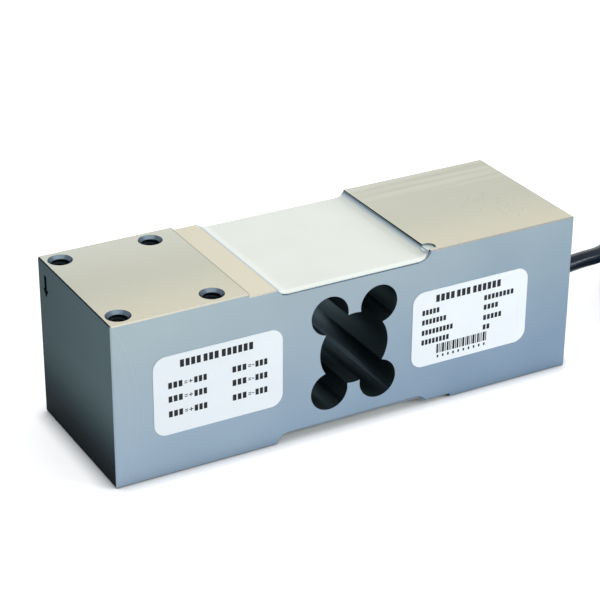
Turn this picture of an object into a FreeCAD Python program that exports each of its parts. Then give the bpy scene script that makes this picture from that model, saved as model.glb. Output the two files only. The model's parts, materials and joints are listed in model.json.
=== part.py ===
"""Single point load cell: a one-piece aluminium bending beam with its gauges, wiring, gland and cable.

The beam is a square bar. Five overlapping bores cut a clover through it from front to back, and the four
outer bores leave a thin web under each gauge. A shallow pocket is milled across the top and another across
the bottom: each holds two strain gauges under white potting. The top is bolted at the left end and the
bottom at the right end, so the bottom side is the top side turned half a turn about the Y axis.

Units are millimetres. +X runs along the beam to the cable end, +Y to the back, +Z up. The origin is at the
centre of the beam's footprint.
"""
import FreeCAD, Part
import math
import os

# ---------------------------------------------------------------- beam
BEAM_LENGTH = 191.0
BEAM_WIDTH = 63.5
BEAM_HEIGHT = 63.5
PAD_LENGTH = 53.0           # raised mounting pad at the bolted end of each side
RELIEF_DEPTH = 1.1          # step down from the pad, so that only the pad carries load
POCKET_LENGTH = 63.5        # gauge pocket, centred along the beam
POCKET_DEPTH = 3.6          # from the beam's full height
POCKET_CORNER_R = 5.5       # radius left by the cutter at both ends of the pocket
EDGE_BREAK = 0.4            # small chamfer on the outer edges

# ---------------------------------------------------------------- aperture
CENTRE_BORE_D = 28.4
CORNER_BORE_D = 15.3
CORNER_BORE_X = 10.2        # corner bore axis from the beam's middle, along X
WEB_THICKNESS = 5.2         # metal left between a corner bore and the pocket floor

# ---------------------------------------------------------------- mounting threads, M8, four at each pad
THREAD_BORE_D = 6.8
THREAD_BORE_DEPTH = 20.0
COUNTERSINK_D = 9.2
THREAD_SPACING_X = 35.6
THREAD_SPACING_Y = 50.0
THREAD_INSET = 6.0          # first pair of threads from the beam's end

# ---------------------------------------------------------------- wire hole, beside the pockets
WIRE_HOLE_D = 5.5
WIRE_HOLE_SETBACK = 1.15    # its axis beyond the pocket's end wall
WIRE_HOLE_SKIN = 1.0        # metal left between the hole and the front face

# ---------------------------------------------------------------- cable bore, slanting from the end face
EXIT_OFFSET = 14.3          # bore centre at the end face, from mid width towards the front
COUNTERBORE_D = 18.0
COUNTERBORE_DEPTH = 7.4     # at the bore's axis, so that the gland's head stays within the end face
CHAMBER_D = 7.6
CHAMBER_LENGTH = 24.0
PASSAGE_D = 5.0

# ---------------------------------------------------------------- gland
GLAND_THREAD_D = 10.0
GLAND_SHANK_LENGTH = 9.0
GLAND_HEX = 13.0            # across flats
GLAND_HEAD_HEIGHT = 5.0
GLAND_HEAD_CHAMFER = 0.6
WASHER_THICKNESS = 0.8
BUSH_D = 8.9
BUSH_LENGTH = 8.0
FIT_CLEARANCE = 0.05        # radial, between a turned piece and its bore
CABLE_CLEARANCE = 0.15      # radial, between the cable and the metal pieces that it passes

# ---------------------------------------------------------------- cable
CABLE_D = 6.7
SHIELD_D = 4.9
CORE_D = 0.9
CORE_PITCH = 1.3            # side by side, in two rows of three with the board between the rows
CORE_ROWS = (("green", "red", "blue"), ("black", "white", "brown"))     # above and below the board
SHEATH_PAST_BUSH = 3.0
SHIELD_PAST_SHEATH = 3.0

# ---------------------------------------------------------------- electronics
GAUGE_LENGTH = 9.0
GAUGE_WIDTH = 7.0
GAUGE_BACKING = 0.15
GRID_LOOPS = 3
GRID_SHARE = 0.6            # length of the grid's legs, as a share of the gauge's
GAUGE_TAB_WIDTH = 0.7
STRIP_FRONT = -29.5         # terminal strip, along Y
STRIP_BACK = 4.0
STRIP_WIDTH = 8.0
STRIP_THICKNESS = 0.3       # gauges and resistors stand as high, so that the leads lie level
SPAN_RESISTOR_LENGTH = 6.0
SPAN_RESISTOR_WIDTH = 5.0
SPAN_RESISTOR_Y = -14.0
BOARD_LENGTH = 11.8
BOARD_WIDTH = 6.6
BOARD_THICKNESS = 0.8
BOARD_GAP = 0.5             # from the board to the end of its chamber
CORE_PAD_LENGTH = 2.7
TRIM_RESISTOR_SIZE = (2.0, 1.2, 0.5)
RIBBON_WIDTH = 2.4          # three fine wires side by side, from the board to each pocket
RIBBON_THICKNESS = 0.3
RIBBON_PAD_LENGTH = 2.8
TAB_LAP = 1.0               # overlap of a ribbon or lead with what it is soldered to
FLAT_LEAD_WIDTH = 0.6       # leads of the gauges and resistors
FLAT_LEAD_THICKNESS = 0.15
SOLDER_GAP = 0.02

# ---------------------------------------------------------------- potting
POTTING_DEPTH = 1.3         # over the pocket floor
POTTING_EDGE = 0.8          # its front and back edges slump this much
MENISCUS_LENGTH = 4.2
CLIMB_AT_BLOCK = 1.5        # rise of the meniscus at the full-height end wall
CLIMB_AT_RELIEF = 0.9       # and at the lower wall beside the relief

# ---------------------------------------------------------------- labels on the front face
LABEL_LENGTH = 50.8
LABEL_HEIGHT = 31.0
LABEL_CORNER_R = 4.8
LABEL_THICKNESS = 0.15
WIRING_LABEL_X = -55.0
RATING_LABEL_X = 50.1

# ---------------------------------------------------------------- free cable and its coil
CABLE_FIRST_RUN = 18.0      # straight out along the bore's axis
CABLE_LAST_RUN = 15.0       # in line with the lead onto the coil
COIL_LEAD_START = (141.7, 2.4, 27.9)
ARC_SHARE = 0.45            # of the shorter run beside a bend, taken by the bend
COIL_HEADING = 38.0         # degrees from +X, the way the cable runs onto the coil
COIL_LEAD = 27.0            # straight lead onto the coil
COIL_PITCH = 6.9            # from one turn to the next
COIL_INNER_TURN_R = 30.0
COIL_COLUMNS = 3
COIL_LAYERS = 4
COIL_SKIN = 0.1             # the ring's faces stand this far outside the turns
TAIL_HEADING = -4.5         # degrees from +X, the way the far end leaves the coil
TAIL_LENGTH = 27.0          # straight, from the coil to the sheath's end
TIE_ANGLES = {"coil_tie_back": 30.0, "coil_tie_front": 210.0}
TIE_WIDTH = 3.0
TIE_THICKNESS = 0.6
TIE_CLEARANCE = 0.1
TIE_HEAD = (4.4, 4.0, 3.2)  # radial, tangential, height
LEAD_LENGTH = 16.0          # stripped cores at the far end
LEAD_SPREAD = 5.0           # from one end to the next of the same row, where they lie on the floor
LEAD_ROW_SHIFT = 0.25       # of the spread: the upper row's ends to one side, the lower row's to the other
DRAIN_LENGTH = 12.0
DRAIN_D = 0.6

# ---------------------------------------------------------------- derived places
HALF_LENGTH = BEAM_LENGTH / 2
HALF_WIDTH = BEAM_WIDTH / 2
MID_HEIGHT = BEAM_HEIGHT / 2
FRONT = -HALF_WIDTH
POCKET_FLOOR = BEAM_HEIGHT - POCKET_DEPTH
WALL_AT_BLOCK = POCKET_DEPTH
WALL_AT_RELIEF = POCKET_DEPTH - RELIEF_DEPTH
CORNER_BORE_Z = MID_HEIGHT - POCKET_DEPTH - WEB_THICKNESS - CORNER_BORE_D / 2
WIRE_HOLE_X = POCKET_LENGTH / 2 + WIRE_HOLE_SETBACK
WIRE_HOLE_Y = FRONT + WIRE_HOLE_SKIN + WIRE_HOLE_D / 2
BORE_RUN_X = HALF_LENGTH - WIRE_HOLE_X
BORE_RUN_Y = -EXIT_OFFSET - WIRE_HOLE_Y
BORE_RUN = math.hypot(BORE_RUN_X, BORE_RUN_Y)
BORE_OUT = FreeCAD.Vector(BORE_RUN_X / BORE_RUN, BORE_RUN_Y / BORE_RUN, 0)
UP = FreeCAD.Vector(0, 0, 1)
BORE_SIDE = UP.cross(BORE_OUT)
BORE_MOUTH = FreeCAD.Vector(HALF_LENGTH, -EXIT_OFFSET, MID_HEIGHT)

# stations along the bore, measured outward from its mouth
SEAT = -COUNTERBORE_DEPTH
CABLE_START = -1.0          # the free cable is drawn from here, just inside the end face
GLAND_FACE = SEAT + GLAND_HEAD_HEIGHT
WASHER_AT = SEAT - GLAND_SHANK_LENGTH
BUSH_AT = WASHER_AT - WASHER_THICKNESS
SHOULDER = BUSH_AT - BUSH_LENGTH
SHEATH_END = SHOULDER - SHEATH_PAST_BUSH
SHIELD_END = SHEATH_END - SHIELD_PAST_SHEATH
CHAMBER_END = SHOULDER - CHAMBER_LENGTH
BOARD_INNER = CHAMBER_END + BOARD_GAP
BOARD_OUTER = BOARD_INNER + BOARD_LENGTH
BUSH_BORE_D = BUSH_D + 2 * FIT_CLEARANCE
CABLE_HOLE_D = CABLE_D + 2 * CABLE_CLEARANCE

LEAD_LIFT = STRIP_THICKNESS + SOLDER_GAP    # underside of the ribbons and leads over the pocket floor
GRID_LEGS = 2 * GRID_LOOPS
GRID_PITCH = GAUGE_WIDTH / (GRID_LEGS + 2)
GAUGE_LEAD_Y = (GRID_LEGS - 1) / 2 * GRID_PITCH     # the first and the last leg
CUT_MARGIN = 1.0            # how far a cutter runs past the face that it opens
ON_PLANE = 1e-6             # how near to a plane counts as on it
COIL_OUTER_TURN_R = COIL_INNER_TURN_R + (COIL_COLUMNS - 1) * COIL_PITCH
COIL_BASE = TIE_THICKNESS + TIE_CLEARANCE + COIL_SKIN
COIL_TOP = COIL_BASE + CABLE_D + (COIL_LAYERS - 1) * COIL_PITCH
TOP_TURN_Z = COIL_TOP - CABLE_D / 2
BOTTOM_TURN_Z = COIL_BASE + CABLE_D / 2


# ================================================================ helpers
def vec(x, y, z):
    return FreeCAD.Vector(x, y, z)


def box(x0, x1, y0, y1, z0, z1):
    return Part.makeBox(x1 - x0, y1 - y0, z1 - z0, vec(x0, y0, z0))


def half_turn(shape):
    """The same shape on the other side of the beam: half a turn about the Y axis through its middle."""
    turned = shape.copy()
    turned.rotate(vec(0, 0, MID_HEIGHT), vec(0, 1, 0), 180)
    return turned


def bore_point(station, side=0.0, up=0.0):
    """A point in the slanting cable bore: station outward from the mouth, then across and up."""
    return BORE_MOUTH + BORE_OUT * station + BORE_SIDE * side + UP * up


def bore_cylinder(diameter, start, end):
    return Part.makeCylinder(diameter / 2, end - start, bore_point(start), BORE_OUT)


def bore_ring(outer_d, inner_d, start, end):
    inside = bore_cylinder(inner_d, start - CUT_MARGIN, end + CUT_MARGIN)
    return bore_cylinder(outer_d, start, end).cut(inside)


def bore_block(start, end, side0, side1, up0, up1):
    """A block squared to the bore's axis."""
    block = Part.makeBox(end - start, side1 - side0, up1 - up0, vec(start, side0, up0))
    placement = FreeCAD.Placement(BORE_MOUTH, FreeCAD.Rotation(vec(1, 0, 0), BORE_OUT))
    block.Placement = placement
    return block


def rounded_path(points, radii):
    """Straight runs joined by tangent arcs, as one wire. radii has one value for each inner point."""
    edges = []
    start = points[0]
    for before, corner, after, radius in zip(points, points[1:], points[2:], radii):
        into = (corner - before).normalize()
        out = (after - corner).normalize()
        half_turn_angle = into.getAngle(out) / 2
        setback = radius * math.tan(half_turn_angle)
        arc_start = corner - into * setback
        arc_end = corner + out * setback
        inward = (out - into).normalize()
        arc_middle = corner + inward * (radius / math.cos(half_turn_angle) - radius)
        edges.append(Part.LineSegment(start, arc_start).toShape())
        edges.append(Part.Arc(arc_start, arc_middle, arc_end).toShape())
        start = arc_end
    edges.append(Part.LineSegment(start, points[-1]).toShape())
    return Part.Wire(edges)


def tube(points, radii, diameter):
    """A round solid of one diameter along a rounded path."""
    path = rounded_path(points, radii)
    heading = (points[1] - points[0]).normalize()
    section = Part.Wire(Part.Circle(points[0], heading, diameter / 2).toShape())
    return path.makePipeShell([section], True, True)


def arc_between(start, end, height):
    """Radius of the arc that leaves one point level and climbs to another one, over a length."""
    return ((end - start) ** 2 + height ** 2) / (2 * height)


# ================================================================ beam
def corner_run(wall):
    """Length along X that the pocket's corner arc takes to climb a wall of this height."""
    return math.sqrt(POCKET_CORNER_R ** 2 - (POCKET_CORNER_R - wall) ** 2)


def floor_end(wall):
    """Where the flat of the pocket floor ends, from the beam's middle, below a wall of this height."""
    return POCKET_LENGTH / 2 - corner_run(wall)


def corner_rise(x, wall):
    """Height of the pocket's corner arc over the floor at x."""
    return POCKET_CORNER_R - math.sqrt(POCKET_CORNER_R ** 2 - (x - floor_end(wall)) ** 2)


def side_profile():
    """One side of the beam, from the relief's step to the full-height block, as points and arcs on top."""
    half = POCKET_LENGTH / 2
    relief = BEAM_HEIGHT - RELIEF_DEPTH
    left_flat = -floor_end(WALL_AT_RELIEF)
    right_flat = floor_end(WALL_AT_BLOCK)
    left_mid = left_flat - corner_run(WALL_AT_RELIEF) / 2
    right_mid = right_flat + corner_run(WALL_AT_BLOCK) / 2
    left_mid_z = POCKET_FLOOR + corner_rise(-left_mid, WALL_AT_RELIEF)
    right_mid_z = POCKET_FLOOR + corner_rise(right_mid, WALL_AT_BLOCK)
    pad_end = -HALF_LENGTH + PAD_LENGTH
    corners = [
        vec(-HALF_LENGTH, 0, BEAM_HEIGHT),
        vec(pad_end, 0, BEAM_HEIGHT),
        vec(pad_end, 0, relief),
        vec(-half, 0, relief),
    ]
    edges = [Part.LineSegment(a, b).toShape() for a, b in zip(corners, corners[1:])]
    floor_left = vec(left_flat, 0, POCKET_FLOOR)
    floor_right = vec(right_flat, 0, POCKET_FLOOR)
    block = vec(half, 0, BEAM_HEIGHT)
    edges.append(Part.Arc(corners[-1], vec(left_mid, 0, left_mid_z), floor_left).toShape())
    edges.append(Part.LineSegment(floor_left, floor_right).toShape())
    edges.append(Part.Arc(floor_right, vec(right_mid, 0, right_mid_z), block).toShape())
    edges.append(Part.LineSegment(block, vec(HALF_LENGTH, 0, BEAM_HEIGHT)).toShape())
    return edges


def bar():
    """The outer form: two equal sides, half a turn apart, joined by the end faces and run to full width."""
    top = side_profile()
    bottom = [half_turn(edge) for edge in top]
    right = Part.LineSegment(vec(HALF_LENGTH, 0, BEAM_HEIGHT), vec(HALF_LENGTH, 0, 0)).toShape()
    left = Part.LineSegment(vec(-HALF_LENGTH, 0, 0), vec(-HALF_LENGTH, 0, BEAM_HEIGHT)).toShape()
    outline = Part.Wire(top + [right] + bottom + [left])
    outline.translate(vec(0, FRONT, 0))
    solid = Part.Face(outline).extrude(vec(0, BEAM_WIDTH, 0))
    return solid.makeChamfer(EDGE_BREAK, [edge for edge in solid.Edges if is_outer_edge(edge)])


def is_outer_edge(edge):
    """True on the front and back outlines and on the four upright corners."""
    bounds = edge.BoundBox
    flat_in_y = bounds.YLength < ON_PLANE
    upright = bounds.XLength < ON_PLANE and bounds.ZLength < ON_PLANE and abs(abs(bounds.XMin) - HALF_LENGTH) < ON_PLANE
    return flat_in_y or upright


def clover():
    """The five through bores."""
    centres = [(0, 0, CENTRE_BORE_D)]
    for side_x in (-1, 1):
        for side_z in (-1, 1):
            centres.append((side_x * CORNER_BORE_X, side_z * CORNER_BORE_Z, CORNER_BORE_D))
    bores = []
    for x, z, diameter in centres:
        start = vec(x, FRONT - CUT_MARGIN, MID_HEIGHT + z)
        bores.append(Part.makeCylinder(diameter / 2, BEAM_WIDTH + 2 * CUT_MARGIN, start, vec(0, 1, 0)))
    return bores[0].fuse(bores[1:])


def threaded_hole(x, y):
    """A countersunk blind hole down from the top face."""
    radius = THREAD_BORE_D / 2
    sink = (COUNTERSINK_D - THREAD_BORE_D) / 2
    foot = BEAM_HEIGHT - THREAD_BORE_DEPTH
    hole = Part.makeCylinder(radius, THREAD_BORE_DEPTH, vec(x, y, foot))
    mouth_r = COUNTERSINK_D / 2 + CUT_MARGIN
    mouth = Part.makeCone(radius, mouth_r, sink + CUT_MARGIN, vec(x, y, BEAM_HEIGHT - sink))
    return hole.fuse(mouth)


def mounting_holes():
    near = -HALF_LENGTH + THREAD_INSET
    holes = []
    for x in (near, near + THREAD_SPACING_X):
        for y in (-THREAD_SPACING_Y / 2, THREAD_SPACING_Y / 2):
            hole = threaded_hole(x, y)
            holes += [hole, half_turn(hole)]
    return holes


def wire_hole(bottom=0.0, top=BEAM_HEIGHT):
    return Part.makeCylinder(WIRE_HOLE_D / 2, top - bottom, vec(WIRE_HOLE_X, WIRE_HOLE_Y, bottom))


def cable_bore():
    """Counterbore, gland thread, bush bore, junction chamber and wire passage on one slanting axis."""
    counterbore = bore_cylinder(COUNTERBORE_D, SEAT, COUNTERBORE_D)
    thread = bore_cylinder(GLAND_THREAD_D, WASHER_AT, SEAT)
    bush_bore = bore_cylinder(BUSH_BORE_D, SHOULDER, WASHER_AT)
    return [counterbore, thread, bush_bore, chamber(), passage()]


def chamber():
    return bore_cylinder(CHAMBER_D, CHAMBER_END, SHOULDER)


def passage():
    return bore_cylinder(PASSAGE_D, -BORE_RUN, CHAMBER_END)


def sensing_beam():
    cuts = [clover(), wire_hole()] + mounting_holes() + cable_bore()
    return bar().cut(cuts)


# ================================================================ gauges and their wiring
def strain_gauge():
    """The gauge over the right-hand bores: a backing, a foil grid with legs along X, two solder tabs."""
    half_x = GAUGE_LENGTH / 2
    half_y = GAUGE_WIDTH / 2
    x = CORNER_BORE_X
    inner = x - half_x
    backing_top = POCKET_FLOOR + GAUGE_BACKING
    grid_top = POCKET_FLOOR + STRIP_THICKNESS
    backing = box(inner, x + half_x, -half_y, half_y, POCKET_FLOOR, backing_top)
    leg = GRID_PITCH / 2
    left = x - half_x * GRID_SHARE
    right = x + half_x * GRID_SHARE
    leg_y = [(index - (GRID_LEGS - 1) / 2) * GRID_PITCH for index in range(GRID_LEGS)]
    foil = [box(left, right, y - leg / 2, y + leg / 2, backing_top, grid_top) for y in leg_y]
    for index, y in enumerate(leg_y[:-1]):
        turn = right if index % 2 == 0 else left - leg
        foil.append(box(turn, turn + leg, y - leg / 2, y + GRID_PITCH + leg / 2, backing_top, grid_top))
    half_tab = GAUGE_TAB_WIDTH / 2
    for y in (leg_y[0], leg_y[-1]):
        foil.append(box(inner, left, y - half_tab, y + half_tab, backing_top, grid_top))
    return backing.fuse(foil).removeSplitter()


def terminal_strip():
    """A thin strip between the two gauges, across the pocket to the ribbon beside the front face."""
    half = STRIP_WIDTH / 2
    return box(-half, half, STRIP_FRONT, STRIP_BACK, POCKET_FLOOR, POCKET_FLOOR + STRIP_THICKNESS)


def span_resistor():
    half = SPAN_RESISTOR_LENGTH / 2
    front = SPAN_RESISTOR_Y - SPAN_RESISTOR_WIDTH / 2
    back = SPAN_RESISTOR_Y + SPAN_RESISTOR_WIDTH / 2
    top = POCKET_FLOOR + STRIP_THICKNESS
    return box(CORNER_BORE_X - half, CORNER_BORE_X + half, front, back, POCKET_FLOOR, top)


def mirrored(shape):
    """The same piece on the other side of the beam's middle, along X."""
    return shape.mirror(vec(0, 0, 0), vec(1, 0, 0))


def flat_leads(inner_end, places):
    """Flat leads along X from the pieces on both sides to the strip, one pair for each place along Y.

    inner_end is where the right-hand piece begins.
    """
    start = STRIP_WIDTH / 2 - TAB_LAP
    end = inner_end + TAB_LAP
    half = FLAT_LEAD_WIDTH / 2
    base = POCKET_FLOOR + LEAD_LIFT
    leads = []
    for y in places:
        lead = box(start, end, y - half, y + half, base, base + FLAT_LEAD_THICKNESS)
        leads += [lead, mirrored(lead)]
    return leads


def gauge_leads():
    return flat_leads(CORNER_BORE_X - GAUGE_LENGTH / 2, (-GAUGE_LEAD_Y, GAUGE_LEAD_Y))


def resistor_leads():
    offset = SPAN_RESISTOR_WIDTH / 4
    places = (SPAN_RESISTOR_Y - offset, SPAN_RESISTOR_Y + offset)
    return flat_leads(CORNER_BORE_X - SPAN_RESISTOR_LENGTH / 2, places)


def bridge_ribbon(side):
    """Three-wire ribbon from the junction board along the bore, through the wire hole and onto a strip.

    side is 1 for the top pocket and -1 for the bottom one.
    """
    wall = WALL_AT_BLOCK if side > 0 else WALL_AT_RELIEF
    floor = POCKET_FLOOR if side > 0 else POCKET_DEPTH
    half = RIBBON_WIDTH / 2
    t = RIBBON_THICKNESS
    lift = BOARD_THICKNESS / 2 + SOLDER_GAP
    low, high = sorted((side * lift, side * (lift + t)))
    along_bore = bore_block(-BORE_RUN, BOARD_INNER + RIBBON_PAD_LENGTH, -half, half, low, high)

    half_chord = math.sqrt((WIRE_HOLE_D / 2) ** 2 - half ** 2)
    hole_edge = WIRE_HOLE_X - half_chord
    over = corner_rise(hole_edge, wall) + FIT_CLEARANCE
    low, high = sorted((side * lift, floor + side * (over + t) - MID_HEIGHT))
    upright = bore_block(-BORE_RUN - t, -BORE_RUN, -half, half, low, high)

    level_end = hole_edge - t
    outline = [
        (WIRE_HOLE_X, over),
        (level_end, over),
        (floor_end(wall), LEAD_LIFT),
        (STRIP_WIDTH / 2 - TAB_LAP, LEAD_LIFT),
    ]
    lower = [vec(x, WIRE_HOLE_Y - half, floor + side * z) for x, z in outline]
    upper = [point + UP * (side * t) for point in reversed(lower)]
    in_pocket = Part.Face(Part.makePolygon(lower + upper + lower[:1])).extrude(vec(0, RIBBON_WIDTH, 0))
    return along_bore.fuse([upright, in_pocket])


# ================================================================ potting
def potting_top_path(z):
    """The potting's upper outline: a meniscus at each end of a level stretch at height z."""
    relief_x, relief_z = meniscus_end(WALL_AT_RELIEF, CLIMB_AT_RELIEF)
    block_x, block_z = meniscus_end(WALL_AT_BLOCK, CLIMB_AT_BLOCK)
    left = vec(-relief_x + MENISCUS_LENGTH, 0, z)
    right = vec(block_x - MENISCUS_LENGTH, 0, z)
    left_arc = meniscus_arc(vec(-relief_x, 0, relief_z), left)
    right_arc = meniscus_arc(right, vec(block_x, 0, block_z))
    return Part.Wire([left_arc, Part.LineSegment(left, right).toShape(), right_arc])


def meniscus_end(wall, climb):
    """Where the potting meets the corner arc, from the beam's middle."""
    rise = POTTING_DEPTH + climb
    run = math.sqrt(POCKET_CORNER_R ** 2 - (POCKET_CORNER_R - rise) ** 2)
    return floor_end(wall) + run, POCKET_FLOOR + rise


def meniscus_arc(start, end):
    """An arc that is level at its lower end and climbs to its upper end."""
    low, high = sorted((start, end), key=lambda point: point.z)
    radius = arc_between(low.x, high.x, high.z - low.z)
    middle_x = (low.x + high.x) / 2
    middle_z = low.z + radius - math.sqrt(radius ** 2 - (middle_x - low.x) ** 2)
    return Part.Arc(start, vec(middle_x, 0, middle_z), end).toShape()


def potting(column_top, wall_is_block):
    """White compound over the top pocket and down half of the wire hole, before its neighbours are cut out.

    wall_is_block tells whether the wire hole stands at the full-height end of this pocket.
    """
    half = HALF_WIDTH - EDGE_BREAK
    path = potting_top_path(POCKET_FLOOR + POTTING_DEPTH)
    left = path.Vertexes[0].Point
    right = path.Vertexes[-1].Point
    foot = POCKET_FLOOR - CUT_MARGIN
    closing = [
        Part.LineSegment(right, vec(right.x, 0, foot)).toShape(),
        Part.LineSegment(vec(right.x, 0, foot), vec(left.x, 0, foot)).toShape(),
        Part.LineSegment(vec(left.x, 0, foot), left).toShape(),
    ]
    outline = Part.Wire(path.Edges + closing)
    outline.translate(vec(0, -half, 0))
    slab = Part.Face(outline).extrude(vec(0, 2 * half, 0))
    surface = POCKET_FLOOR + POTTING_DEPTH
    on_a_side = [edge for edge in slab.Edges if edge.BoundBox.YLength < ON_PLANE]
    slab = slab.makeChamfer(POTTING_EDGE, [edge for edge in on_a_side if edge.BoundBox.ZMin > surface - ON_PLANE])
    column_x = WIRE_HOLE_X if wall_is_block else -WIRE_HOLE_X
    foot = vec(column_x, WIRE_HOLE_Y, MID_HEIGHT)
    return slab.fuse(Part.makeCylinder(WIRE_HOLE_D / 2, column_top - MID_HEIGHT, foot))


# ================================================================ cable end inside the beam
def core_place(row, column):
    """Where one core lies inside the cable and on the board: (across, up)."""
    up = BOARD_THICKNESS / 2 + SOLDER_GAP + CORE_D / 2
    return (column - 1) * CORE_PITCH, up if row == 0 else -up


def core(row, column):
    """One insulated core, straight from the end of the braid over its pad on the board."""
    across, up = core_place(row, column)
    end = bore_point(BOARD_OUTER - CORE_PAD_LENGTH, across, up)
    return Part.makeCylinder(CORE_D / 2, (bore_point(SHIELD_END, across, up) - end).Length, end, BORE_OUT)


def junction_board():
    half_width = BOARD_WIDTH / 2
    half_thick = BOARD_THICKNESS / 2
    return bore_block(BOARD_INNER, BOARD_OUTER, -half_width, half_width, -half_thick, half_thick)


def trim_resistors():
    """Two chip resistors between the rows of pads."""
    length, width, height = TRIM_RESISTOR_SIZE
    middle = (BOARD_INNER + RIBBON_PAD_LENGTH + BOARD_OUTER - CORE_PAD_LENGTH) / 2
    base = BOARD_THICKNESS / 2
    chips = []
    for side in (-1, 1):
        across = side * BOARD_WIDTH / 4
        chips.append(
            bore_block(
                middle - length / 2, middle + length / 2,
                across - width / 2, across + width / 2,
                base, base + height,
            )
        )
    return chips


def cable_sheath_end():
    """The cable inside the gland, drawn solid as its free length is."""
    return bore_cylinder(CABLE_D, SHEATH_END, CABLE_START)


def shield_braid():
    return bore_cylinder(SHIELD_D, SHIELD_END, SHEATH_END)


def passage_resin():
    """Resin that fills the passage round the ribbons, from the board's chamber to the wire hole."""
    return passage().cut(wire_hole())


# ================================================================ gland
def gland_bush():
    return bore_ring(BUSH_D, CABLE_D, SHOULDER, BUSH_AT)


def gland_washer():
    return bore_ring(BUSH_D, CABLE_HOLE_D, BUSH_AT, WASHER_AT)


def gland_screw():
    """Hollow screw: a chamfered hexagon head in the counterbore and a shank that presses on the washer."""
    across_corners = GLAND_HEX / math.cos(math.radians(30))
    corners = []
    for index in range(7):
        angle = math.radians(60 * index)
        across = across_corners / 2 * math.cos(angle)
        up = across_corners / 2 * math.sin(angle)
        corners.append(bore_point(SEAT, across, up))
    head = Part.Face(Part.makePolygon(corners)).extrude(BORE_OUT * GLAND_HEAD_HEIGHT)
    cone_r = across_corners / 2 + GLAND_HEAD_HEIGHT - GLAND_HEAD_CHAMFER
    cone = Part.makeCone(cone_r, cone_r - GLAND_HEAD_HEIGHT, GLAND_HEAD_HEIGHT, bore_point(SEAT), BORE_OUT)
    shank = bore_cylinder(GLAND_THREAD_D - 2 * FIT_CLEARANCE, WASHER_AT, SEAT)
    hole = bore_cylinder(CABLE_HOLE_D, WASHER_AT - CUT_MARGIN, GLAND_FACE + CUT_MARGIN)
    return head.common(cone).fuse(shank).cut(hole).removeSplitter()


# ================================================================ free cable
def heading_vector(degrees):
    angle = math.radians(degrees)
    return vec(math.cos(angle), math.sin(angle), 0)


def lead_on_points():
    """Where the lead onto the coil starts, and where it becomes the first turn."""
    start = vec(*COIL_LEAD_START)
    end = start + heading_vector(COIL_HEADING) * COIL_LEAD
    end.z = TOP_TURN_Z
    return start, end


def coil_centre():
    """The turns run clockwise seen from above, so the centre lies to the right of the heading."""
    first_turn = lead_on_points()[1]
    right = vec(math.sin(math.radians(COIL_HEADING)), -math.cos(math.radians(COIL_HEADING)), 0)
    centre = first_turn + right * COIL_OUTER_TURN_R
    return vec(centre.x, centre.y, 0)


def lead_off_points():
    """Where the last turn leaves the coil, and where the sheath ends."""
    left = vec(-math.sin(math.radians(TAIL_HEADING)), math.cos(math.radians(TAIL_HEADING)), 0)
    start = coil_centre() + left * COIL_OUTER_TURN_R
    start.z = BOTTOM_TURN_Z
    return start, start + heading_vector(TAIL_HEADING) * TAIL_LENGTH


def straight_cylinder(start, end, diameter):
    run = end - start
    return Part.makeCylinder(diameter / 2, run.Length, start, run)


def cable():
    """The stretch from just inside the end face to the coil, as straight runs and tangent arcs."""
    lead_start, lead_end = lead_on_points()
    lead_heading = (lead_end - lead_start).normalize()
    points = [
        bore_point(CABLE_START),
        bore_point(CABLE_FIRST_RUN),
        lead_start - lead_heading * CABLE_LAST_RUN,
        lead_start,
    ]
    radii = []
    for before, corner, after in zip(points, points[1:], points[2:]):
        into = corner - before
        out = after - corner
        half_angle = into.getAngle(out) / 2
        radii.append(ARC_SHARE * min(into.Length, out.Length) / math.tan(half_angle))
    return tube(points, radii, CABLE_D)


def cable_coil():
    """The outer shape of the wound turns, with the straight leads on and off."""
    centre = coil_centre()
    inner = COIL_INNER_TURN_R - CABLE_D / 2 - COIL_SKIN
    outer = COIL_OUTER_TURN_R + CABLE_D / 2 + COIL_SKIN
    height = COIL_TOP - COIL_BASE + 2 * COIL_SKIN
    base = centre + UP * (COIL_BASE - COIL_SKIN)
    ring = Part.makeCylinder(outer, height, base).cut(Part.makeCylinder(inner, height, base))
    on_start, on_end = lead_on_points()
    off_start, off_end = lead_off_points()
    lead_on = straight_cylinder(on_start, on_end, CABLE_D)
    lead_off = straight_cylinder(off_start, off_end, CABLE_D)
    return ring.fuse([lead_on, lead_off])


def coil_section(margin, width):
    """The coil's section grown by a margin, as a straight block of this width about its place on +X."""
    return box(
        COIL_INNER_TURN_R - CABLE_D / 2 - margin, COIL_OUTER_TURN_R + CABLE_D / 2 + margin,
        -width / 2, width / 2,
        COIL_BASE - margin, COIL_TOP + margin,
    )


def coil_tie(angle):
    """A flat strap round the coil's section, with its buckle on top."""
    strap = coil_section(COIL_SKIN + TIE_CLEARANCE + TIE_THICKNESS, TIE_WIDTH)
    opening = coil_section(COIL_SKIN + TIE_CLEARANCE, 2 * TIE_WIDTH)
    radial, tangential, head_height = TIE_HEAD
    middle = (COIL_INNER_TURN_R + COIL_OUTER_TURN_R) / 2
    head_base = COIL_TOP + COIL_SKIN + TIE_CLEARANCE + TIE_THICKNESS / 2
    head = box(
        middle - radial / 2, middle + radial / 2,
        -tangential / 2, tangential / 2,
        head_base, head_base + head_height,
    )
    tie = strap.cut(opening).fuse(head)
    tie.rotate(vec(0, 0, 0), UP, angle)
    tie.translate(coil_centre())
    return tie


def end_point(forward, across, height):
    """A point beyond the sheath's end: ahead of it, across to its left, at a height over the floor."""
    ahead = heading_vector(TAIL_HEADING)
    left = UP.cross(ahead)
    base = lead_off_points()[1]
    point = base + ahead * forward + left * across
    point.z = height
    return point


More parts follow.
